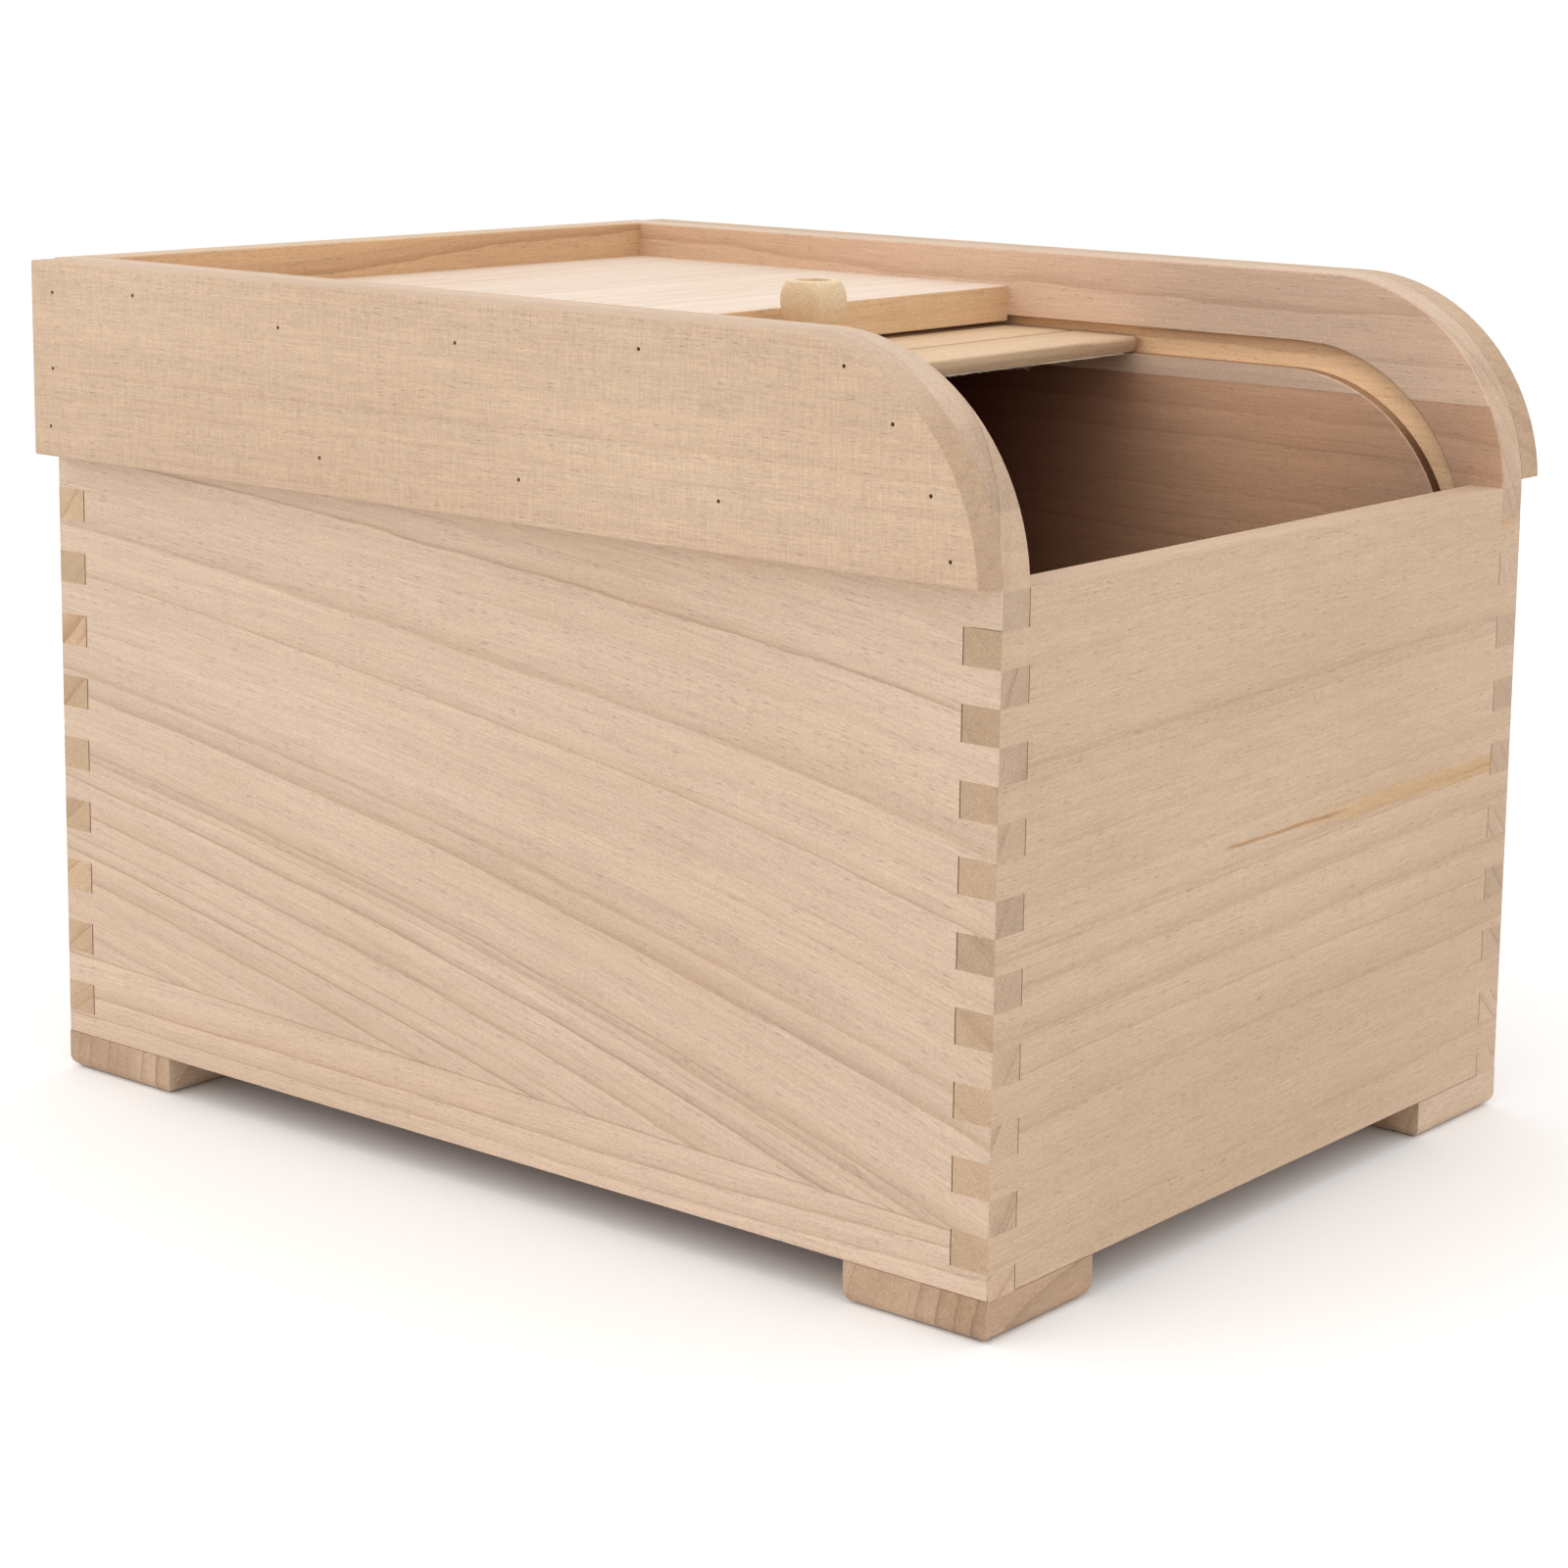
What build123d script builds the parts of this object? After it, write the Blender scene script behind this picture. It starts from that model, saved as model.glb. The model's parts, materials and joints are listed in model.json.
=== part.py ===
from build123d import *

import os
from math import asin, cos, degrees, pi, radians, sin

# Roll-front bread bin: a finger-jointed wooden box on four corner feet, with a flexible slatted
# shutter that runs in a groove in each side panel. Millimetres. The origin is the centre of the
# footprint on the floor, the front faces -Y and +Z is up. The shutter is modelled open.

# ---- driving dimensions -------------------------------------------------------------------
BOARD = 12.0                # thickness of the side, front, back and top boards
BAND = 10.5                 # thickness of the bands outside the side panels
FINGER = 10.0               # height of one finger of the corner joints
FINGER_PAIRS = 9            # fingers that the front and back panels have at each corner
BOTTOM_STRIP = 7.4          # height of the side panel left under the lowest finger
JOINT_GAP = 0.35            # left open at the bottom of each notch of the corner joints
WIDTH = 272.0               # across the outer faces of the side panels
DEPTH = 368.0               # front face to back face
SIDE_HEIGHT = 249.5         # side and back panels, without the feet
SIDE_RADIUS = 64.0          # round front top corner of the side panels
FOOT = 48.0                 # foot length and width
FOOT_HEIGHT = 12.0
FOOT_ROUNDING = 4.0
FLOOR_THICKNESS = 9.0       # the bottom panel inside the box
BAND_HEIGHT = 60.5          # the strip nailed outside each side panel, flush with its top
BAND_FRONT_RADIUS = 64.0
BAND_CORNER = 3.5           # rounding of the band's back corners
TOP_FRONT = 189.5           # from the front face back to the top panel's front edge
TOP_RECESS = 12.0           # from the side panels' top down to the top panel

SLATS = 8                   # the first slat is the front one
SLAT_PITCH = 27.0
SLAT_GAP = 0.4
SLAT_THICKNESS = 5.0
SLAT_EASE = 0.6             # chamfer along the slats' upper edges
TONGUE = 4.5                # how far a slat's end reaches into the groove
TONGUE_THICKNESS = 3.4
TONGUE_INSET = 0.8          # from the slat's long edges to its tongue's
TONGUE_LIFT = 1.0           # step up from the slat's underside to its tongue
SIDE_PLAY = 0.5             # between the slats and the side panels' inner faces
SHUTTER_OPEN = 137.3        # from the front face back to the open shutter's front edge
BENDING_SLATS = 3           # front slats that lie on the curve when the shutter is closed
CLOTH = 0.5
CLOTH_MARGIN = 5.0          # from the side panels' inner faces to the cloth's edges

GROOVE_DEPTH = 5.0
GROOVE_LOW = 218.4          # lower wall of the level run, above the box's underside
GROOVE_HIGH = 227.6         # upper wall of the level run
OUTER_BEND = 62.0           # radius of the groove's outer wall
OUTER_BEND_BACK = 75.5      # from the front face back to the centre of that radius
INNER_BEND = 58.0           # radius of the groove's inner wall
INNER_BEND_BACK = 77.5
GROOVE_END = 158.0          # lower end of the groove, behind the front panel
GROOVE_BACK_GAP = 0.8       # from the last slat back to the groove's rear end

BALL = 10.3                 # radius of the knob's ball
BALL_HEIGHT = 17.2          # centre of the ball above the slat
KNOB_PLACE = 35.9           # from the open shutter's front edge back to the knob's axis
KNOB_TOP = 6.3              # flat top above the ball's centre
KNOB_FOOT = 7.0             # lower cut of the ball below its centre
NECK_RADIUS = 5.5
NECK_WAIST = 4.6
KNOB_HOLE_RADIUS = 5.5
KNOB_HOLE_DEPTH = 6.0
SCREW_RADIUS = 1.75
SCREW_HEAD_RADIUS = 3.5
SCREW_HEAD = 2.2
SCREW_IN_KNOB = 13.0
RELIEF = 7.2                # clearance round the ball, scooped out of the top panel

BRAD_RADIUS = 0.6
BRAD_LENGTH = 15.0
BRAD_SET = 0.7              # how far a brad's head lies below the wood
# brads of one band: back from the front face, and up from the box's underside
BAND_BRADS = [
    (356, 240), (318.5, 241.5), (254.5, 236.5), (182.5, 237.5), (114, 241), (44, 242),
    (356.5, 216.5), (28, 228.5), (15.5, 211.5),
    (358, 198.5), (237.5, 200), (158, 201.5), (85.5, 203), (9, 195.5),
]
FOOT_BRADS = [(14, 32), (33, 15)]      # in from the box's side and front, on each foot

# ---- derived places -----------------------------------------------------------------------
UNDERSIDE = FOOT_HEIGHT                              # the box's underside above the floor
FRONT = -DEPTH / 2
BACK = DEPTH / 2
SIDE = WIDTH / 2
INSIDE = SIDE - BOARD                                # inner face of a side panel
FRONT_HEIGHT = BOTTOM_STRIP + 2 * FINGER_PAIRS * FINGER
TOP = UNDERSIDE + SIDE_HEIGHT
SLAT_LOW = UNDERSIDE + GROOVE_LOW + 0.6              # underside of the slats
HINGE_HEIGHT = SLAT_LOW - CLOTH                      # the cloth's underside, where the shutter bends
BEND_HEIGHT = UNDERSIDE + GROOVE_HIGH - OUTER_BEND
KNOB_BACK = SHUTTER_OPEN + KNOB_PLACE                # the knob stands on the second slat


def back(distance):
    """Y of a place that lies a distance behind the front face."""
    return FRONT + distance


def up(height):
    """Z of a place that lies a height above the box's underside."""
    return UNDERSIDE + height


def block(x0, x1, y0, y1, z0, z1):
    """A box between two corners."""
    return Pos((x0 + x1) / 2, (y0 + y1) / 2, (z0 + z1) / 2) * Box(x1 - x0, y1 - y0, z1 - z0)


def plate(face, x0, x1):
    """A face drawn in the YZ plane, extruded from x0 to x1."""
    return Pos(x0, 0, 0) * extrude(face, x1 - x0, dir=(1, 0, 0))


def finger_levels():
    """Lower and upper height of each finger of the front and back panels."""
    for pair in range(FINGER_PAIRS):
        low = up(BOTTOM_STRIP + 2 * pair * FINGER)
        yield low, low + FINGER


def side_finger_levels():
    """Lower and upper height of each finger of the side panels, and of the strip under them."""
    low = up(0)
    for next_low, next_high in finger_levels():
        yield low, next_low
        low = next_high


def rounded_profile(bottom, radius):
    """Side outline in the YZ plane: from a level bottom to the top, with a round front corner."""
    start = (back(0), TOP - radius)
    edges = []
    if start[1] > bottom:
        low_front = (back(0), bottom)
        edges.append(Line(low_front, start))
    else:
        drop = bottom - start[1]
        setback = radius - (radius ** 2 - drop ** 2) ** 0.5
        low_front = (back(setback), bottom)
        start = low_front
    middle = pi / 4
    edges += [
        ThreePointArc(
            start,
            (back(radius - radius * cos(middle)), TOP - radius + radius * sin(middle)),
            (back(radius), TOP),
        ),
        Line((back(radius), TOP), (BACK, TOP)),
        Line((BACK, TOP), (BACK, bottom)),
        Line((BACK, bottom), low_front),
    ]
    return make_face(Plane.YZ * Wire(edges))


def groove_profile():
    """The groove's outline: a level run, a quarter bend and a short drop behind the front panel."""
    outer_y, outer_z = back(OUTER_BEND_BACK), BEND_HEIGHT
    inner_y, inner_z = back(INNER_BEND_BACK), up(GROOVE_LOW) - INNER_BEND
    rear = back(SHUTTER_OPEN + SLATS * SLAT_PITCH + GROOVE_BACK_GAP)
    end = up(GROOVE_END)
    slant = pi / 4
    high, low = up(GROOVE_HIGH), up(GROOVE_LOW)
    outer_front, inner_front = outer_y - OUTER_BEND, inner_y - INNER_BEND
    half = (inner_front - outer_front) / 2
    edges = [
        Line((rear, high), (outer_y, high)),
        ThreePointArc(
            (outer_y, high),
            (outer_y - OUTER_BEND * cos(slant), outer_z + OUTER_BEND * sin(slant)),
            (outer_front, outer_z),
        ),
        Line((outer_front, outer_z), (outer_front, end)),
        ThreePointArc((outer_front, end), (outer_front + half, end - half), (inner_front, end)),
        Line((inner_front, end), (inner_front, inner_z)),
        ThreePointArc(
            (inner_front, inner_z),
            (inner_y - INNER_BEND * cos(slant), inner_z + INNER_BEND * sin(slant)),
            (inner_y, low),
        ),
        Line((inner_y, low), (rear, low)),
        Line((rear, low), (rear, high)),
    ]
    return make_face(Plane.YZ * Wire(edges))


def band_brads(sign):
    """The brads of one band as separate solids, and the holes that they are driven into."""
    brads, holes = [], []
    outside = SIDE + BAND
    for distance, height in BAND_BRADS:
        place = Pos(sign * outside, back(distance), up(height)) * Rot(0, -sign * 90, 0)
        align = (Align.CENTER, Align.CENTER, Align.MIN)
        brads.append(place * Pos(0, 0, BRAD_SET) * Cylinder(BRAD_RADIUS, BRAD_LENGTH, align=align))
        holes.append(place * Cylinder(BRAD_RADIUS, BRAD_SET + BRAD_LENGTH, align=align))
    return brads, holes


def side_panel(sign, holes):
    """A side panel with its finger notches, its rounded front corner and its groove."""
    inner, outer = sorted((sign * INSIDE, sign * SIDE))
    panel = plate(rounded_profile(up(0), SIDE_RADIUS), inner, outer)
    notch = BOARD + JOINT_GAP
    for low, high in finger_levels():
        panel -= block(inner, outer, FRONT, FRONT + notch, low, high)
        panel -= block(inner, outer, BACK - notch, BACK, low, high)
    floor, face = sorted((sign * (INSIDE + GROOVE_DEPTH), sign * INSIDE))
    panel -= plate(groove_profile(), floor, face)
    return panel - holes


def side_band(sign, holes):
    """The strip outside a side panel: round at the front like the panel, eased at the back."""
    inner, outer = sorted((sign * SIDE, sign * (SIDE + BAND)))
    band = plate(rounded_profile(TOP - BAND_HEIGHT, BAND_FRONT_RADIUS), inner, outer)
    rear_edges = band.faces().sort_by(Axis.Y)[-1].edges()
    band = fillet(
        [e for e in rear_edges if abs(e.center().X - sign * SIDE) > 1],
        BAND_CORNER,
    )
    return band - holes


def end_panel(front_face, height):
    """A front or back panel: it fits between the side panels and has fingers through them."""
    rear_face = front_face + BOARD
    panel = block(-INSIDE, INSIDE, front_face, rear_face, up(0), up(height))
    for low, high in side_finger_levels():
        panel -= block(-INSIDE, -INSIDE + JOINT_GAP, front_face, rear_face, low, high)
        panel -= block(INSIDE - JOINT_GAP, INSIDE, front_face, rear_face, low, high)
    for low, high in finger_levels():
        panel += block(-SIDE, SIDE, front_face, rear_face, low, high)
    return panel


def top_panel():
    """The fixed top, set down between the sides, with a scoop for the knob in its front edge."""
    top = TOP - TOP_RECESS
    panel = block(-INSIDE, INSIDE, back(TOP_FRONT), BACK - BOARD, top - BOARD, top)
    return panel - Pos(0, back(KNOB_BACK), SLAT_LOW + SLAT_THICKNESS + BALL_HEIGHT) * Sphere(
        BALL + RELIEF
    )


def foot(side_sign, end_sign):
    """A corner foot, flush with the box's faces and round along its lower edges."""
    x0, x1 = sorted((side_sign * SIDE, side_sign * (SIDE - FOOT)))
    y0, y1 = sorted((end_sign * BACK, end_sign * (BACK - FOOT)))
    pad = block(x0, x1, y0, y1, 0, FOOT_HEIGHT)
    return fillet(pad.faces().sort_by(Axis.Z)[0].edges(), FOOT_ROUNDING)


def foot_brads(side_sign, end_sign):
    """The brads that hold one foot, driven up from below, and their holes."""
    brads, holes = [], []
    align = (Align.CENTER, Align.CENTER, Align.MIN)
    for across, along in FOOT_BRADS:
        place = Pos(side_sign * (SIDE - across), end_sign * (BACK - along), 0)
        brads.append(place * Pos(0, 0, BRAD_SET) * Cylinder(BRAD_RADIUS, BRAD_LENGTH, align=align))
        holes.append(place * Cylinder(BRAD_RADIUS, BRAD_SET + BRAD_LENGTH, align=align))
    return brads, holes


def slat(number):
    """One slat. Those that stay on the level run have tongues in the grooves."""
    front = back(SHUTTER_OPEN + (number - 1) * SLAT_PITCH) + SLAT_GAP / 2
    rear = front + SLAT_PITCH - SLAT_GAP
    half = INSIDE - SIDE_PLAY
    body = block(-half, half, front, rear, SLAT_LOW, SLAT_LOW + SLAT_THICKNESS)
    body = chamfer(body.faces().sort_by(Axis.Z)[-1].edges().filter_by(Axis.X), SLAT_EASE)
    if number > BENDING_SLATS:
        low = SLAT_LOW + TONGUE_LIFT
        reach = INSIDE + TONGUE
        body += block(-reach, reach, front + TONGUE_INSET, rear - TONGUE_INSET, low, low + TONGUE_THICKNESS)
    return body


def cloth(first, last):
    """The cloth glued under the slats from one number to another."""
    front = back(SHUTTER_OPEN + (first - 1) * SLAT_PITCH) + SLAT_GAP / 2
    rear = back(SHUTTER_OPEN + last * SLAT_PITCH) - SLAT_GAP / 2
    half = INSIDE - CLOTH_MARGIN
    return block(-half, half, front, rear, HINGE_HEIGHT, SLAT_LOW)


def knob_profile():
    """Half section of the turned knob in the XZ plane: neck, ball, flat top and blind hole."""
    foot_radius = (BALL ** 2 - KNOB_FOOT ** 2) ** 0.5
    top_radius = (BALL ** 2 - KNOB_TOP ** 2) ** 0.5
    low = BALL_HEIGHT - KNOB_FOOT
    high = BALL_HEIGHT + KNOB_TOP
    edges = [
        Line((0, 0), (NECK_RADIUS, 0)),
        ThreePointArc((NECK_RADIUS, 0), (NECK_WAIST, low / 2), (NECK_RADIUS, low)),
        Line((NECK_RADIUS, low), (foot_radius, low)),
        ThreePointArc((foot_radius, low), (BALL, BALL_HEIGHT), (top_radius, high)),
        Line((top_radius, high), (KNOB_HOLE_RADIUS, high)),
        Line((KNOB_HOLE_RADIUS, high), (KNOB_HOLE_RADIUS, high - KNOB_HOLE_DEPTH)),
        Line((KNOB_HOLE_RADIUS, high - KNOB_HOLE_DEPTH), (0, high - KNOB_HOLE_DEPTH)),
        Line((0, high - KNOB_HOLE_DEPTH), (0, 0)),
    ]
    return make_face(Plane.XZ * Wire(edges))


def knob():
    """The knob, standing on the second slat, and the blind hole for its screw."""
    place = Pos(0, back(KNOB_BACK), SLAT_LOW + SLAT_THICKNESS)
    align = (Align.CENTER, Align.CENTER, Align.MIN)
    turned = revolve(knob_profile(), Axis.Z)
    return place * (turned - Cylinder(SCREW_RADIUS, SCREW_IN_KNOB, align=align))


def knob_screw():
    """The screw that comes up through the cloth and the slat into the knob."""
    align = (Align.CENTER, Align.CENTER, Align.MIN)
    place = Pos(0, back(KNOB_BACK), HINGE_HEIGHT)
    shank = Cylinder(SCREW_RADIUS, CLOTH + SLAT_THICKNESS + SCREW_IN_KNOB, align=align)
    head = Pos(0, 0, -SCREW_HEAD) * Cylinder(SCREW_HEAD_RADIUS, SCREW_HEAD, align=align)
    head = fillet(head.faces().sort_by(Axis.Z)[0].edges(), SCREW_HEAD * 0.7)
    return place * (shank + head)


def write(name, solid):
    """One STEP file per node."""
    export_step(solid, f"parts/{name}.step")


def main():
    os.makedirs("parts", exist_ok=True)

    for side_name, sign in (("left", -1), ("right", 1)):
        brads, holes = band_brads(sign)
        panel_holes = list(holes)
        feet_brads = []
        for end_name, end_sign in (("front", -1), ("back", 1)):
            nails, nail_holes = foot_brads(sign, end_sign)
            feet_brads += nails
            write(f"foot_{end_name}_{side_name}", foot(sign, end_sign) - nail_holes)
            panel_holes += nail_holes
        write(f"side_panel_{side_name}", side_panel(sign, panel_holes))
        write(f"side_band_{side_name}", side_band(sign, holes))
        write(f"band_brads_{side_name}", Compound(children=brads))
        write(f"foot_brads_{side_name}", Compound(children=feet_brads))

    write("front_panel", end_panel(FRONT, FRONT_HEIGHT))
    write("back_panel", end_panel(BACK - BOARD, SIDE_HEIGHT))
    all_foot_holes = [h for s in (-1, 1) for e in (-1, 1) for h in foot_brads(s, e)[1]]
    bottom = block(-INSIDE, INSIDE, FRONT + BOARD, BACK - BOARD, up(0), up(FLOOR_THICKNESS))
    write("bottom_panel", bottom - all_foot_holes)
    write("top_panel", top_panel())

    screw = knob_screw()
    for number in range(1, SLATS + 1):
        body = slat(number)
        write(f"slat_{number}", body - screw if number == 2 else body)
    for number in range(1, BENDING_SLATS + 1):
        strip = cloth(number, number)
        write(f"cloth_{number}", strip - screw if number == 2 else strip)
    write("cloth_rear", cloth(BENDING_SLATS + 1, SLATS))
    write("knob", knob())
    write("knob_screw", screw)

    # The closed shutter's bending slats are equal chords of a circle round the groove's bend.
    radius = HINGE_HEIGHT - BEND_HEIGHT
    half_turn = degrees(asin(SLAT_PITCH / 2 / radius))
    travel = SHUTTER_OPEN + BENDING_SLATS * SLAT_PITCH - OUTER_BEND_BACK
    print(f"slide travel {travel:.2f} mm, hinge turns {half_turn:.3f} and {2 * half_turn:.3f} degrees")
    for number in range(1, BENDING_SLATS + 1):
        y = back(SHUTTER_OPEN + number * SLAT_PITCH)
        print(f"hinge behind slat {number}: y {y:.2f}, z {HINGE_HEIGHT:.2f}")
    print(f"turn rate {radians(half_turn) / travel * 1000:.5f} rad/m at the last, twice that before")


main()
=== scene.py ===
import json
import math
import random

import bmesh
import bpy
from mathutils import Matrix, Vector


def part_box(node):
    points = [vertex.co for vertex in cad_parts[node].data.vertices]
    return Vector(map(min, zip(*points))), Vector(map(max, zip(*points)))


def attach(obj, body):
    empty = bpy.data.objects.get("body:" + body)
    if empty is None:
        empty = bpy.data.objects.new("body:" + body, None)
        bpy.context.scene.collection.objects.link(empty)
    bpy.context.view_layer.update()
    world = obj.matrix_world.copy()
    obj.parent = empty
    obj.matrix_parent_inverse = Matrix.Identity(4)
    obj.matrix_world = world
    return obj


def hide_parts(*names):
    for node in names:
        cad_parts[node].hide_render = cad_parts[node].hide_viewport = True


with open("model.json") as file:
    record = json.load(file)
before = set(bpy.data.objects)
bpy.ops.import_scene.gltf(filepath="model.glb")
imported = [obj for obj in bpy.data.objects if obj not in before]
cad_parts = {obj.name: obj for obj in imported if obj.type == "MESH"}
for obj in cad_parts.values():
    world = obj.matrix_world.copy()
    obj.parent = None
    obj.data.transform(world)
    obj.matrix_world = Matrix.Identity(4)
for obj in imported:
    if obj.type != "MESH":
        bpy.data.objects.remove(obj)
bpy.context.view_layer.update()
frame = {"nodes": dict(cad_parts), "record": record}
nodes = frame["nodes"]

MM = 0.001
slots = {part["node"]: part["material_slot"] for part in frame["record"]["subparts"]}
bodies = {
    node: body for body, members in frame["record"]["behaviour"]["bodies"].items() for node in members
}


# ---- places from the CAD model, in millimetres ------------------------------------------------
def cad(node):
    """Lowest and highest corner of a CAD node, in millimetres."""
    low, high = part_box(node)
    return low / MM, high / MM


panel_low, panel_high = cad("side_panel_right")
SIDE = panel_high.x
INSIDE = panel_low.x
FRONT = panel_low.y
BACK = panel_high.y
UNDERSIDE = panel_low.z
TOP = panel_high.z
FRONT_TOP = cad("front_panel")[1].z
TOP_PANEL_FRONT = cad("top_panel")[0].y
SLATS_FRONT = cad("slat_1")[0].y
SLATS = 8
SLAT_PITCH = 27.0
SLAT_HALF_GAP = 0.2
FINGER = 10.0
FINGER_BASE = UNDERSIDE + 7.4                       # the lowest notch of the corner joints
WALLS_INSET = 12.6                                  # to just inside the front and back panels
ROUND_RADIUS = 64.0                                 # of the side panels' upper front corners
RIM_GAP = 1.2                                       # from the panels' rim to where the groove walls may begin
GROOVE_FLOOR = INSIDE + 5.0
GROOVE_TOP = TOP - 18.0                             # a little above the groove
GROOVE_END = UNDERSIDE + 148.0                      # a little below the groove
GLUE_HEIGHT = 224.0                                 # the glue line on the side panels' inner faces
STREAK_HEIGHT = UNDERSIDE + 101.4                   # the dark streak on the front panel
CLOTH_SETBACK = 0.9                                 # from the front slat's edge back to the cloth's


# ---- shader helpers ---------------------------------------------------------------------------
class Tree:
    """Short names for adding nodes to one shader tree."""

    def __init__(self, tree):
        self.tree = tree

    def add(self, kind, values=None, **settings):
        node = self.tree.nodes.new(kind)
        for name, value in settings.items():
            setattr(node, name, value)
        for key, value in (values or {}).items():
            self.put(node.inputs[key], value)
        return node

    def put(self, socket, value):
        if isinstance(value, bpy.types.NodeSocket):
            self.tree.links.new(value, socket)
        elif socket.type == "VECTOR":
            socket.default_value = value[:3]
        else:
            socket.default_value = value

    def math(self, operation, a, b=0.0, c=0.0, clamp=False):
        node = self.add("ShaderNodeMath", operation=operation, use_clamp=clamp)
        for socket, value in zip(node.inputs, (a, b, c)):
            self.put(socket, value)
        return node.outputs[0]

    def vector(self, operation, a, b=(0, 0, 0), scale=None):
        node = self.add("ShaderNodeVectorMath", operation=operation)
        self.put(node.inputs[0], a)
        if scale is None:
            self.put(node.inputs[1], b)
        else:
            self.put(node.inputs["Scale"], scale)
        return node.outputs["Value" if operation in ("LENGTH", "DOT_PRODUCT") else "Vector"]

    def step(self, value, start, end, low=0.0, high=1.0):
        """Smoothly from low at start to high at end."""
        node = self.add(
            "ShaderNodeMapRange",
            {"Value": value, "From Min": start, "From Max": end, "To Min": low, "To Max": high},
            interpolation_type="SMOOTHSTEP",
        )
        return node.outputs[0]

    def split(self, vector):
        return self.add("ShaderNodeSeparateXYZ", {0: vector}).outputs

    def join(self, x, y, z):
        return self.add("ShaderNodeCombineXYZ", {0: x, 1: y, 2: z}).outputs[0]

    def noise(self, vector, lengths, detail=2.0, roughness=0.5):
        """Noise from about -0.5 to 0.5 whose features have these lengths along the three axes."""
        scaled = self.vector("MULTIPLY", vector, tuple(1 / x for x in lengths))
        node = self.add(
            "ShaderNodeTexNoise",
            {"Vector": scaled, "Scale": 1.0, "Detail": detail, "Roughness": roughness},
        )
        return self.math("SUBTRACT", node.outputs[0], 0.5)

    def random(self, value):
        """A different number from 0 to 1 for every value."""
        return self.add("ShaderNodeTexWhiteNoise", {"W": value}, noise_dimensions="1D").outputs["Value"]

    def mix(self, factor, a, b):
        node = self.add("ShaderNodeMix", data_type="RGBA", clamp_factor=True)
        for index, value in ((0, factor), (6, a), (7, b)):
            self.put(node.inputs[index], value)
        return node.outputs[2]

    def shade(self, colour, amount):
        """colour multiplied by a number."""
        return self.vector("SCALE", colour, scale=amount)

    def tinted(self, colour, tint, share):
        """colour, multiplied by a tint where share is 1."""
        return self.mix(share, colour, self.vector("MULTIPLY", colour, tint))

    def product(self, *values):
        """All the values multiplied, as masks that must all hold."""
        total = values[0]
        for value in values[1:]:
            total = self.math("MULTIPLY", total, value)
        return total

    def object_place(self):
        """The place on the object, in millimetres."""
        return self.vector("SCALE", self.add("ShaderNodeTexCoord").outputs["Object"], scale=1000.0)


def new_material(name):
    """A material, its Tree and its Principled node."""
    material = bpy.data.materials.new(name)
    material.use_nodes = True
    return material, Tree(material.node_tree), material.node_tree.nodes["Principled BSDF"]


def rgb(red, green, blue):
    """An sRGB colour, 0 to 255, as a linear shader colour."""
    return tuple(
        x / 12.92 if x <= 0.04045 else ((x + 0.055) / 1.055) ** 2.4
        for x in (red / 255, green / 255, blue / 255)
    ) + (1.0,)


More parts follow.
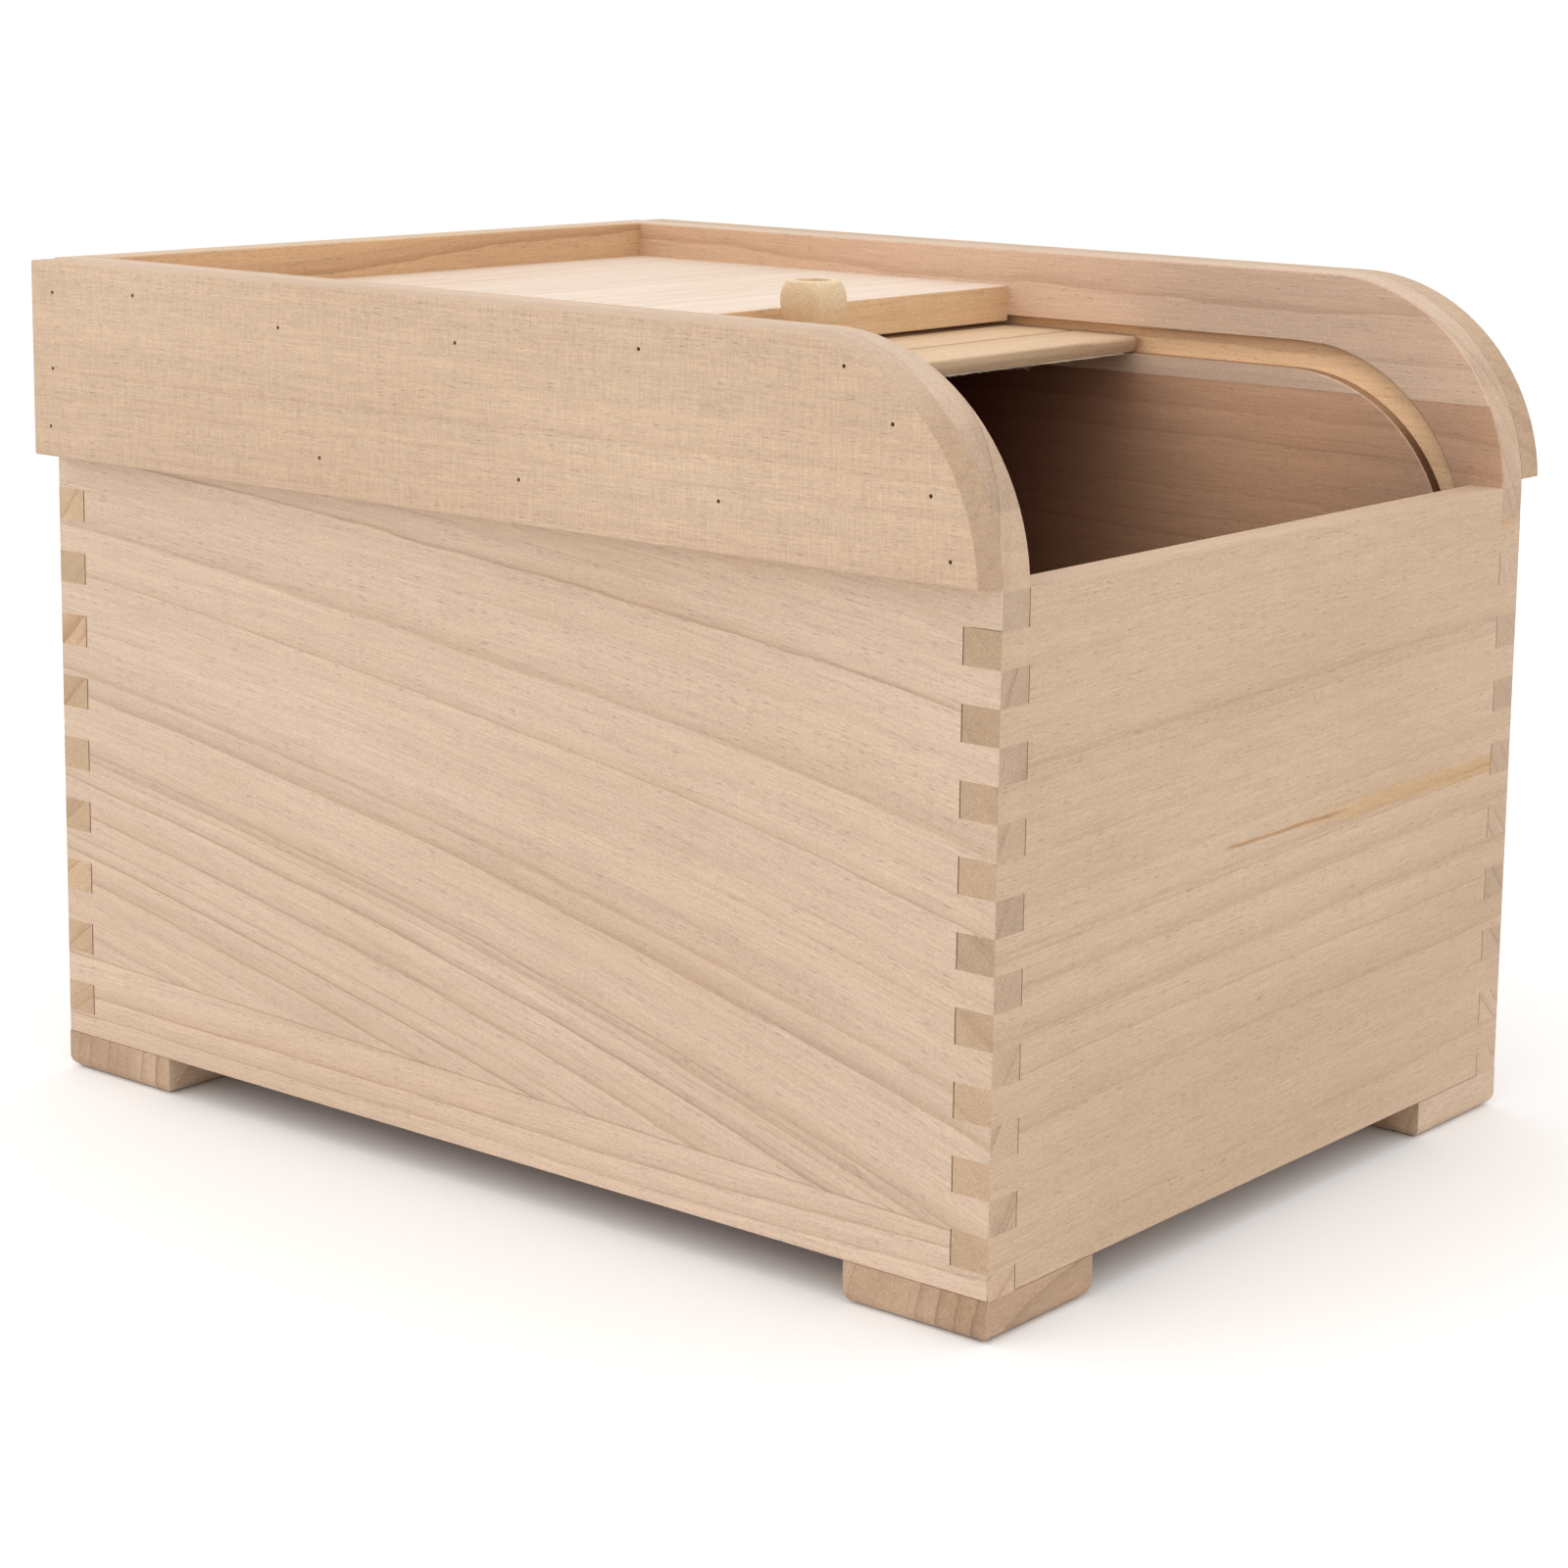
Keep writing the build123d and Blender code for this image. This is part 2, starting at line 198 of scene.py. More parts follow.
def timber_group():
    """Unfinished, ring-porous wood, from a place on the board in millimetres: (along, across, through)."""
    group = bpy.data.node_groups.new("timber", "ShaderNodeTree")
    for name, kind, value in (
        ("Board", "Vector", None),
        ("Pith", "Vector", None),
        ("Slope", "Vector", None),
        ("Marks", "Vector", None),
        ("Spacing", "Float", 7.0),
        ("Wave", "Float", 8.0),
        ("Lines", "Float", 1.0),
        ("Pores", "Float", 1.0),
        ("Hatch", "Float", 0.0),
        ("Mottle", "Float", 1.0),
        ("End", "Float", 0.0),
        ("Seed", "Float", 0.0),
        ("Pale", "Color", None),
        ("Warm", "Color", None),
        ("Late", "Color", None),
    ):
        socket = group.interface.new_socket(name, in_out="INPUT", socket_type="NodeSocket" + kind)
        if value is not None:
            socket.default_value = value
    for name, kind in (("Color", "Color"), ("Height", "Float"), ("Roughness", "Float")):
        group.interface.new_socket(name, in_out="OUTPUT", socket_type="NodeSocket" + kind)

    t = Tree(group)
    given = t.add("NodeGroupInput").outputs
    out = t.add("NodeGroupOutput").inputs
    along, across, through = t.split(given["Board"])
    pith_across, pith_through, _ = t.split(given["Pith"])
    slope_across, slope_through, fan = t.split(given["Slope"])
    shift = t.vector("SCALE", (311.7, 97.3, 53.1), scale=given["Seed"])

    # distance from the pith, bent by waves in the grain; the fibres run with it
    u = t.math("SUBTRACT", across, t.math("MULTIPLY_ADD", along, slope_across, pith_across))
    u = t.math("MULTIPLY", u, t.math("MULTIPLY_ADD", along, fan, 1.0))
    v = t.math("SUBTRACT", through, t.math("MULTIPLY_ADD", along, slope_through, pith_through))
    place = t.vector("ADD", t.join(along, u, v), shift)
    radius = t.vector("LENGTH", t.join(u, v, 0.0))
    wave, ripple = (
        t.math("MULTIPLY", t.noise(place, lengths, detail), t.math("MULTIPLY", given["Wave"], height))
        for lengths, detail, height in (((240, 110, 110), 1.0, 2.0), ((75, 34, 34), 2.0, 0.6))
    )
    jag = t.math("MULTIPLY", t.noise(place, (26, 3.2, 3.2), 2.0), 0.9)
    radius = t.math("ADD", t.math("ADD", radius, wave), t.math("ADD", ripple, jag))

    # growth rings of uneven width and strength: slowly darker, then a sharp edge
    years = t.add(
        "ShaderNodeTexNoise",
        {"W": t.math("MULTIPLY", radius, 0.045), "Detail": 1.0, "Scale": 1.0},
        noise_dimensions="1D",
    ).outputs[0]
    uneven = t.product(t.math("SUBTRACT", years, 0.5), 2.2, given["Spacing"])
    turn = t.math("DIVIDE", t.math("ADD", radius, uneven), given["Spacing"])
    ring = t.math("ADD", t.math("FLOOR", turn), t.math("MULTIPLY", given["Seed"], 17.0))
    phase = t.math("FRACT", turn)
    strength = t.math("MULTIPLY_ADD", t.math("POWER", t.random(ring), 1.7), 0.9, 0.12)
    edge = t.step(phase, 1.0, 0.972)
    late = t.product(t.step(phase, 0.25, 1.0), edge, strength)
    line = t.product(t.step(phase, 0.80, 0.965), edge, strength)
    second = t.math("MULTIPLY", t.math("POWER", t.random(t.math("ADD", ring, 0.37)), 3.0), 0.5)
    false_place = t.math("MULTIPLY_ADD", strength, 0.4, 0.25)
    from_false = t.math("ABSOLUTE", t.math("SUBTRACT", phase, false_place))
    false_line = t.math("MULTIPLY", t.step(from_false, 0.05, 0.0), second)
    for mark in t.split(given["Marks"]):            # the few strongest rings
        past = t.math("SUBTRACT", radius, mark)
        tail = t.math("MULTIPLY", t.step(past, -7.0, 0.0), t.step(past, 0.7, 0.0))
        core = t.math("MULTIPLY", t.step(past, -1.6, -0.2), t.step(past, 0.7, 0.0))
        late = t.math("MULTIPLY_ADD", tail, 0.6, late)
        line = t.math("MULTIPLY_ADD", core, 0.5, line)

    # open pores: short dark dashes, dense where a ring begins
    cells = t.add(
        "ShaderNodeTexVoronoi",
        {"Vector": t.vector("MULTIPLY", place, (1 / 5.5, 1 / 0.42, 1 / 0.42)), "Scale": 1.0},
    ).outputs
    dash = t.step(cells["Distance"], 0.34, 0.16)
    early = t.step(phase, 0.34, 0.0)
    share = t.math("MULTIPLY_ADD", early, 0.34, 0.12)
    present = t.math("LESS_THAN", t.split(cells["Color"])[0], share)
    pore = t.product(dash, present, given["Pores"])

    # fibres, sanding fuzz, faint cross marks and soft colour patches
    fibre = t.noise(place, (16, 0.6, 0.6), 3.0, 0.65)
    band = t.noise(place, (160, 5.0, 5.0), 3.0, 0.55)
    fuzz = t.noise(place, (1.3, 0.5, 0.5), 2.0, 0.7)
    hatch = t.math("MULTIPLY", t.noise(place, (0.55, 9.0, 9.0), 2.0, 0.6), given["Hatch"])
    patch = t.math("MULTIPLY", t.noise(place, (130, 48, 48), 3.0, 0.5), given["Mottle"])

    warmth = t.math("MULTIPLY_ADD", patch, 1.6, 0.5, clamp=True)
    colour = t.mix(warmth, given["Pale"], given["Warm"])
    amount = t.math("MULTIPLY_ADD", late, 0.30, t.math("MULTIPLY", line, 0.38))
    amount = t.math("MULTIPLY", amount, given["Lines"])
    amount = t.math("MULTIPLY_ADD", t.math("MULTIPLY", false_line, 0.38), given["Lines"], amount)
    colour = t.mix(amount, colour, given["Late"])
    tone = 1.0
    for mark, depth in ((fibre, 0.46), (band, 0.20), (fuzz, 0.50), (hatch, 0.34), (pore, -0.26)):
        tone = t.math("MULTIPLY_ADD", mark, depth, tone)
    colour = t.shade(colour, tone)

    # end grain: darker, rough, with open pores
    grit = t.noise(place, (4.0, 0.55, 0.55), 3.0, 0.75)
    end_tone = t.math("MULTIPLY_ADD", grit, 0.60, 0.86)
    end = t.vector("MULTIPLY", t.shade(colour, end_tone), (1.0, 0.955, 0.90))
    t.put(out["Color"], t.mix(given["End"], colour, end))

    height = t.math("MULTIPLY", pore, -0.09)
    end_grit = t.math("MULTIPLY", grit, given["End"])
    for mark, rise in ((line, -0.02), (fuzz, 0.035), (fibre, 0.02), (end_grit, 0.10)):
        height = t.math("MULTIPLY_ADD", mark, rise, height)
    t.put(out["Height"], height)
    t.put(out["Roughness"], t.math("MULTIPLY_ADD", fuzz, 0.15, 0.66))
    return group


TIMBER = timber_group()
AXES = {"X": (1.0, 0.0, 0.0), "Y": (0.0, 1.0, 0.0), "Z": (0.0, 0.0, 1.0)}


def timber(
    name, axes, pale, warm, late, pith, slope, spacing, wave, seed, lines=1.0, pores=1.0, hatch=0.0,
    mottle=1.0, glue=(), main=0, marks=(-99, -99, -99), fingers=False, inner=None, dull=1.0,
):
    """A wood material.

    axes names the object's axes along, across and through the board. pith is the log's middle, across and
    through the board; slope turns the grain from the board's length, and its third value spreads it like a
    fan. marks are the radii of the strongest rings. glue lists the seams between edge-glued strips, each
    with its place across the board and its slope, and main is the strip that the pith belongs to.
    """
    material, t, bsdf = new_material(name)
    bsdf.inputs["Metallic"].default_value = 0.0
    bsdf.inputs["Specular IOR Level"].default_value = 0.28
    coords = t.add("ShaderNodeTexCoord").outputs
    place = t.vector("SCALE", coords["Object"], scale=1000.0)
    x, y, z = t.split(place)
    by_name = {"X": x, "Y": y, "Z": z}
    along, across, through = (by_name[a] for a in axes)
    facing = t.math("ABSOLUTE", t.vector("DOT_PRODUCT", coords["Normal"], AXES[axes[0]]))
    end = t.step(facing, 0.55, 0.85)

    # edge-glued strips, each from another part of the log; the main one is not shifted
    seams = [
        t.math("MULTIPLY_ADD", along, -turn, t.math("SUBTRACT", across, level)) for level, turn in glue
    ]
    number = -main
    for seam in seams:
        number = t.math("ADD", t.math("GREATER_THAN", seam, 0.0), number)
    board = t.join(along, across, through)
    if glue:
        board = t.vector("ADD", board, t.vector("SCALE", (417.0, 23.0, -31.0), scale=number))
        here = t.math("COMPARE", number, 0.0, 0.1)
        slope = t.vector("SCALE", slope, scale=here)
        marks = t.vector("SCALE", marks, scale=here)
    wood = t.add("ShaderNodeGroup", node_tree=TIMBER)
    for key, value in (
        ("Board", board), ("Pith", (pith[0], pith[1], 0)), ("Slope", slope), ("Marks", marks),
        ("Spacing", spacing), ("Wave", wave), ("Lines", lines), ("Pores", pores), ("Hatch", hatch),
        ("Mottle", mottle), ("End", end), ("Seed", seed), ("Pale", pale), ("Warm", warm), ("Late", late),
    ):
        t.put(wood.inputs[key], value)
    colour = wood.outputs["Color"]
    height = wood.outputs["Height"]

    if glue:
        difference = t.math("MULTIPLY_ADD", t.random(t.math("ADD", number, seed)), 0.10, 0.95)
        colour = t.shade(colour, difference)
        for seam in seams:
            dark = t.step(t.math("ABSOLUTE", seam), 0.5, 0.05)
            colour = t.mix(t.math("MULTIPLY", dark, 0.42), colour, late)
            height = t.math("MULTIPLY_ADD", dark, -0.05, height)
    if fingers:
        level = t.math("FLOOR", t.math("DIVIDE", t.math("SUBTRACT", z, FINGER_BASE), FINGER))
        corner = t.math("SIGN", by_name[axes[0]])
        own = t.random(t.math("ADD", level, t.math("MULTIPLY_ADD", corner, 13.3, seed)))
        tone = t.math("MULTIPLY_ADD", own, 0.20, 0.88)
        colour = t.shade(colour, t.math("MULTIPLY_ADD", end, t.math("SUBTRACT", tone, 1.0), 1.0))
    if inner is not None:
        colour = inner(t, colour, x, y, z, coords["Normal"], end)
    if dull != 1.0:
        colour = t.shade(colour, dull)

    bump = t.add("ShaderNodeBump", {"Strength": 0.55, "Distance": 0.001, "Height": height})
    t.put(bsdf.inputs["Base Color"], colour)
    t.put(bsdf.inputs["Roughness"], wood.outputs["Roughness"])
    t.put(bsdf.inputs["Normal"], bump.outputs["Normal"])
    return material


def side_inside(t, colour, x, y, z, normal, end):
    """A side panel's inner face, paler above its glue line and redder below, where painted shade darkens it
    from the mouth into the box, with a painted warm light on the rail above the fixed top, and its groove's
    walls darkened with painted shade.
    """
    wide = t.math("ABSOLUTE", x)
    face = t.math("GREATER_THAN", t.math("ABSOLUTE", t.split(normal)[0]), 0.7)
    on_inner = t.math("MULTIPLY", face, t.math("LESS_THAN", wide, INSIDE + 0.5))
    low = t.step(z, GLUE_HEIGHT + 0.15, GLUE_HEIGHT - 0.15)
    seam = t.step(t.math("ABSOLUTE", t.math("SUBTRACT", z, GLUE_HEIGHT)), 0.5, 0.05)
    # painted light and shade: a warm lit tint behind the mouth, fading to painted dark shade deep in the box
    mouth_light_tint = t.mix(t.step(y, FRONT + 20.0, FRONT + 75.0), (0.84, 0.69, 0.60, 1), (1.06, 0.83, 0.68, 1))
    inside_shade_tint = t.mix(t.step(y, -95.0, 35.0), mouth_light_tint, (0.21, 0.075, 0.05, 1))
    tint = t.mix(low, (1.11, 1.05, 1.03, 1), inside_shade_tint)
    # painted warm light on the rail above the fixed top
    tray_warm_light = t.math("MULTIPLY", t.step(y, -10.0, 150.0), t.step(z, 238.0, 250.0))
    tint = t.mix(tray_warm_light, tint, (1.02, 0.89, 0.76, 1))
    tint = t.mix(t.math("MULTIPLY", seam, 0.35), tint, (0.60, 0.45, 0.36, 1))
    colour = t.tinted(colour, tint, on_inner)
    floor = t.math("MULTIPLY", face, t.math("COMPARE", wide, GROOVE_FLOOR, 0.3))
    colour = t.tinted(colour, (1.56, 1.42, 1.13), floor)

    # the groove's walls are what lies between the inner face and the groove's floor, clear of the outline;
    # they get painted shade, darkest across the grain
    behind = t.math("MINIMUM", t.math("SUBTRACT", y, FRONT + ROUND_RADIUS), 0.0)
    above = t.math("MAXIMUM", t.math("SUBTRACT", z, TOP - ROUND_RADIUS), 0.0)
    from_centre = t.vector("LENGTH", t.join(behind, above, 0.0))
    groove_wall_shade = t.product(
        t.math("GREATER_THAN", wide, INSIDE + 0.3),
        t.math("LESS_THAN", wide, GROOVE_FLOOR - 0.2),
        t.math("SUBTRACT", 1.0, face),
        t.math("GREATER_THAN", y, FRONT + WALLS_INSET),
        t.math("LESS_THAN", y, BACK - WALLS_INSET),
        t.math("LESS_THAN", z, GROOVE_TOP),
        t.math("GREATER_THAN", z, GROOVE_END),
        t.math("LESS_THAN", from_centre, ROUND_RADIUS - RIM_GAP),
    )
    # painted shade in the groove
    wall_shade_along_grain = t.vector("MULTIPLY", colour, (0.75, 0.62, 0.5))
    wall_shade_across_grain = t.vector("MULTIPLY", colour, (0.28, 0.17, 0.11))
    return t.mix(groove_wall_shade, colour, t.mix(end, wall_shade_along_grain, wall_shade_across_grain))


def end_inside(t, colour, x, y, z, normal, end):
    """The end panels' inner faces, with painted warm light above the fixed top and painted dark red shade
    below it, and the front's streak.
    """
    inward = t.math("MULTIPLY", t.split(normal)[1], t.math("SIGN", y))
    inner_side = t.math("LESS_THAN", t.math("ABSOLUTE", y), BACK - 11.5)
    face = t.math("MULTIPLY", t.math("LESS_THAN", inward, -0.7), inner_side)
    # painted shade below the fixed top, painted warm light above it
    tint = t.mix(t.step(z, 236.0, 250.0), (0.20, 0.09, 0.06, 1), (1.00, 0.87, 0.73, 1))
    return streak(t, t.tinted(colour, tint, face), x, y, z)


def streak(t, colour, x, y, z):
    """The front panel's short dark streak, the yellow stain beside it and a small knot at its top right."""
    outside = t.math("LESS_THAN", y, FRONT + 0.3)
    bend = t.math("MULTIPLY", t.noise(t.join(x, 0.0, 0.0), (30, 30, 30), 2.0), 2.4)
    off = t.math("ABSOLUTE", t.math("SUBTRACT", t.math("ADD", z, bend), STREAK_HEIGHT))
    length = t.math("MULTIPLY", t.step(x, -31.0, -24.0), t.step(x, 44.0, 26.0))
    dark = t.math("MULTIPLY", t.step(off, 0.9, 0.15), length)
    stain = t.math("MULTIPLY", t.step(off, 5.0, 0.5), t.step(x, -10.0, 60.0))
    beside = t.math("SUBTRACT", x, SIDE - 8.0)
    above = t.math("SUBTRACT", z, FRONT_TOP - 9.0)
    from_knot = t.vector("LENGTH", t.join(beside, t.math("MULTIPLY", above, 1.5), 0.0))
    knot = t.math("MULTIPLY_ADD", t.noise(t.join(x, y, z), (3, 3, 3), 3.0), 5.0, from_knot)
    stain = t.math("MAXIMUM", stain, t.step(knot, 8.0, 2.0))
    colour = t.tinted(colour, (1.0, 0.90, 0.72), t.math("MULTIPLY", stain, outside))
    return t.tinted(colour, (0.78, 0.62, 0.45), t.math("MULTIPLY", dark, outside))


def top_front_shade(t, colour, x, y, z, normal, end):
    """Painted shade: the top panel's front edge is darker and more orange than its upper face, as it gets
    less of the light.
    """
    # painted shade on the front-facing edge
    return t.tinted(colour, (0.90, 0.75, 0.54), t.step(t.split(normal)[1], -0.5, -0.9))


def slat_seam_shade(t, colour, x, y, z, normal, end):
    """Painted shade: a slat is darker along its long edges, where the gap to the next one lies in shade."""
    turn = t.math("DIVIDE", t.math("SUBTRACT", y, SLATS_FRONT - SLAT_HALF_GAP), SLAT_PITCH)
    off = t.math("ABSOLUTE", t.math("SUBTRACT", turn, t.math("ROUND", turn)))
    edge = t.math("MULTIPLY", t.step(off, 0.045, 0.012), t.math("GREATER_THAN", y, SLATS_FRONT + 5.0))
    # painted shade along the gap between slats
    return t.tinted(colour, (0.60, 0.44, 0.32), edge)


def bottom_inside_shade(t, colour, x, y, z, normal, end):
    """Painted shade: the bottom panel is darkened all over, as its face lies in the box's shaded inside."""
    # painted shade of the box's inside
    return t.vector("MULTIPLY", colour, (0.36, 0.23, 0.17))


SIDE_WOOD = (rgb(210, 185, 163), rgb(200, 173, 148), rgb(154, 118, 93))
BAND_WOOD = (rgb(200, 173, 147), rgb(191, 162, 135), rgb(150, 116, 90))
materials = {
    "side_boards_left": timber(
        "side_boards_left", "YZX", *SIDE_WOOD, pith=(350, -388), slope=(-0.065, 0.0, 0.001), spacing=6.6,
        wave=2.6, lines=0.8, seed=1.0, glue=((33.5, 0.0268),), main=1, marks=(314.9, 351.5, 374.5),
        fingers=True, inner=side_inside,
    ),
    "side_boards_right": timber(
        "side_boards_right", "YZX", *SIDE_WOOD, pith=(330, 378), slope=(0.0, 0.0, 0.0001), spacing=5.2,
        wave=3.5, lines=0.7, seed=5.0, marks=(331.0, 366.0, 392.0), fingers=True, inner=side_inside,
    ),
    "front_board": timber(
        "front_board", "XZY", rgb(201, 175, 149), rgb(191, 163, 135), rgb(150, 116, 88),
        pith=(420, -430), slope=(0.004, 0.0, 0.00008), spacing=9.7, wave=3.0, lines=0.38, seed=2.0,
        marks=(363.9, 397.0, 416.1), fingers=True, inner=end_inside,
    ),
    "back_board": timber(
        "back_board", "XZY", rgb(210, 184, 154), rgb(200, 171, 141), rgb(160, 120, 90),
        pith=(400, 420), slope=(-0.01, 0.0, 0.0002), spacing=9.0, wave=3.6, lines=0.85, seed=7.0,
        marks=(352.0, 389.0, 431.0), fingers=True, inner=end_inside,
    ),
    "bottom_board": timber(
        "bottom_board", "XYZ", rgb(210, 184, 157), rgb(200, 172, 144), rgb(158, 118, 88),
        pith=(260, -190), slope=(0.01, 0.03, 0.0), spacing=7.0, wave=4.0, seed=11.0,
        glue=((-88.0, 0.0), (12.0, 0.0), (105.0, 0.0)), inner=bottom_inside_shade,
    ),
    "band_boards_left": timber(
        "band_boards_left", "YZX", *BAND_WOOD, pith=(520, -300), slope=(0.004, 0.0, 0.0), spacing=15.0,
        wave=1.6, lines=0.45, hatch=1.0, seed=3.0,
    ),
    "band_boards_right": timber(
        "band_boards_right", "YZX", *BAND_WOOD, pith=(500, 280), slope=(0.01, 0.0, 0.0), spacing=12.0,
        wave=2.0, lines=0.5, hatch=1.0, seed=4.0,
    ),
    "top_board": timber(
        "top_board", "XYZ", rgb(222, 204, 187), rgb(216, 194, 174), rgb(188, 152, 124),
        pith=(-360, 60), slope=(0.01, 0.0, 0.0), spacing=9.0, wave=4.0, lines=0.55, seed=6.0,
        glue=((FRONT + 272.5, 0.0), (FRONT + 302.0, 0.0)), inner=top_front_shade,
    ),
    "foot_blocks": timber(
        "foot_blocks", "XYZ", rgb(204, 178, 153), rgb(180, 150, 124), rgb(124, 92, 70),
        pith=(-250, -20), slope=(0.1, 0.05, 0.0), spacing=6.0, wave=9.0, lines=0.8, mottle=2.4, seed=8.0,
    ),
    "knob_wood": timber(
        "knob_wood", "XYZ", rgb(226, 203, 170), rgb(215, 188, 150), rgb(186, 154, 116),
        pith=(9, 215), slope=(0.05, 0.02, 0.0), spacing=5.0, wave=2.0, lines=0.5, pores=0.2, seed=9.0,
    ),
}
for number in range(1, SLATS + 1):
    tone = 1.0 - 0.03 * ((number * 5) % 3)          # neighbours differ a little
    materials[f"shutter_slat_{number}"] = timber(
        f"shutter_slat_{number}", "XYZ", rgb(224, 196, 164), rgb(214, 181, 145), rgb(170, 126, 86),
        pith=(300 - 13 * number, 150 + 17 * number), slope=(0.012, 0.0, 0.0), spacing=5.0, wave=1.6,
        lines=0.7, seed=20.0 + number, inner=slat_seam_shade, dull=tone,
    )


def cloth_material():
    """Thin unbleached cotton: a plain weave, two threads in 0.8 mm, in the bump and in the colour."""
    material, t, bsdf = new_material("shutter_cloth")
    place = t.object_place()
    x, y, _ = t.split(place)
    warp, weft = (t.math("SINE", t.math("MULTIPLY", way, 2 * math.pi / 0.8)) for way in (x, y))
    weave = t.math("MULTIPLY", warp, weft)
    slub = t.noise(place, (6.0, 0.8, 3.0), 3.0, 0.6)
    patch = t.noise(place, (40.0, 40.0, 40.0), 2.0)
    tone = t.math("MULTIPLY_ADD", weave, 0.05, t.math("MULTIPLY_ADD", slub, 0.25, 1.0))
    tone = t.math("MULTIPLY_ADD", patch, 0.12, tone)
    t.put(bsdf.inputs["Base Color"], t.shade(rgb(206, 192, 168), tone))
    bsdf.inputs["Roughness"].default_value = 0.9
    bsdf.inputs["Sheen Weight"].default_value = 0.25
    height = t.math("MULTIPLY_ADD", slub, 0.2, t.math("MULTIPLY", weave, 0.1))
    bump = t.add("ShaderNodeBump", {"Strength": 0.5, "Distance": 0.001, "Height": height})
    t.put(bsdf.inputs["Normal"], bump.outputs["Normal"])
    return material


def steel_material(name, colour, roughness, metallic):
    """Dull or plated steel with fine marks."""
    material, t, bsdf = new_material(name)
    marks = t.noise(t.object_place(), (0.5, 0.5, 0.5), 4.0, 0.6)
    t.put(bsdf.inputs["Base Color"], t.shade(colour, t.math("MULTIPLY_ADD", marks, 0.4, 1.0)))
    t.put(bsdf.inputs["Roughness"], t.math("MULTIPLY_ADD", marks, 0.3, roughness))
    bsdf.inputs["Metallic"].default_value = metallic
    height = t.math("MULTIPLY", marks, 0.05)
    bump = t.add("ShaderNodeBump", {"Strength": 0.3, "Distance": 0.0005, "Height": height})
    t.put(bsdf.inputs["Normal"], bump.outputs["Normal"])
    return material


materials["shutter_cloth"] = cloth_material()
materials["screw_steel"] = steel_material("screw_steel", rgb(200, 200, 196), 0.35, 1.0)
materials["brad_steel"] = steel_material("brad_steel", rgb(52, 40, 32), 0.6, 0.4)


# ---- meshes -----------------------------------------------------------------------------------
def finish_piece(obj, material, *replaced, slot=None, body=None):
    """Material, body and the CAD nodes that the piece stands for; slot is not used."""
    obj.data.materials.clear()
    obj.data.materials.append(materials[material])
    first = replaced[0] if replaced else None
    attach(obj, body or bodies[first])
    if replaced:
        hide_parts(*replaced)
    return obj


def new_object(name, data):
    obj = bpy.data.objects.new(name, data)
    bpy.context.scene.collection.objects.link(obj)
    return obj


def applied_mesh(obj):
    """The mesh of an object with its modifiers or its curve's thickness applied."""
    bpy.context.view_layer.update()
    return bpy.data.meshes.new_from_object(obj.evaluated_get(bpy.context.evaluated_depsgraph_get()))


def smooth_mesh(work, name, sharp):
    """A smooth mesh from a bmesh; edges that turn more than sharp, in degrees, stay sharp."""
    bmesh.ops.recalc_face_normals(work, faces=work.faces)
    for face in work.faces:
        face.smooth = True
    mesh = bpy.data.meshes.new(name)
    work.to_mesh(mesh)
    work.free()
    mesh.set_sharp_from_angle(angle=math.radians(sharp))
    return mesh


def at_round(vertex):
    """Whether a vertex is where a panel's round corner starts, above the front panel."""
    return vertex.co.y < (FRONT + 4) * MM and vertex.co.z > (FRONT_TOP - 5) * MM


def middle_of(low, high):
    """The middle of a box in x and y, at its foot."""
    return (low.x + high.x) / 2, (low.y + high.y) / 2, low.z


def eased(node, material, eases, width=0.4):
    """A copy of a CAD node with eased edges. eases(low, high) gives an edge's share of width, in mm."""
    mesh = nodes[node].data.copy()
    work = bmesh.new()
    work.from_mesh(mesh)
    bmesh.ops.remove_doubles(work, verts=work.verts, dist=1e-6)
    bmesh.ops.dissolve_limit(
        work, angle_limit=math.radians(0.5), use_dissolve_boundaries=False,
        verts=work.verts, edges=work.edges,
    )
    tiny = [edge for edge in work.edges if edge.calc_length() < 1.2 * MM and all(map(at_round, edge.verts))]
    bmesh.ops.collapse(work, edges=tiny)            # facets shorter than the easing
    weight = work.edges.layers.float.new("bevel_weight_edge")
    for face in work.faces:
        face.smooth = True
    for edge in work.edges:
        edge.smooth = True
        if len(edge.link_faces) != 2:
            continue
        if edge.calc_face_angle(0.0) < math.radians(30):
            continue
        edge.smooth = False
        if edge.is_convex and edge.calc_length() > MM:
            a, b = (v.co / MM for v in edge.verts)
            low = Vector(map(min, a, b))
            high = Vector(map(max, a, b))
            edge[weight] = eases(low, high)
    work.to_mesh(mesh)
    work.free()
    obj = new_object(node + "_wood", mesh)
    bevel = obj.modifiers.new("eased", "BEVEL")
    bevel.limit_method = "WEIGHT"
    bevel.width = width * MM
    bevel.segments = 3
    bevel.use_clamp_overlap = False
    bevel.harden_normals = False
    obj.modifiers.new("normals", "WEIGHTED_NORMAL").keep_sharp = True
    return finish_piece(obj, material, node)


def near(value, target, slack=0.05):
    return abs(value - target) < slack


def side_edges(low, high):
    """The panel's outline, where nothing stands against it."""
    for x in (-SIDE, SIDE, -INSIDE, INSIDE):
        if near(low.x, x) and near(high.x, x):
            break
    else:
        return 0.0
    if low.z > FRONT_TOP - 12 and (high.z > TOP - 0.1 or high.y < FRONT + 70):
        return 1.0                                  # along the top and round the front corner
    outer = abs(low.x) > INSIDE + 1
    if outer and near(low.y, high.y) and (near(low.y, FRONT) or near(low.y, BACK)):
        return 0.8                                  # upright corners
    if outer and near(high.z, UNDERSIDE):
        return 0.8
    return 0.0


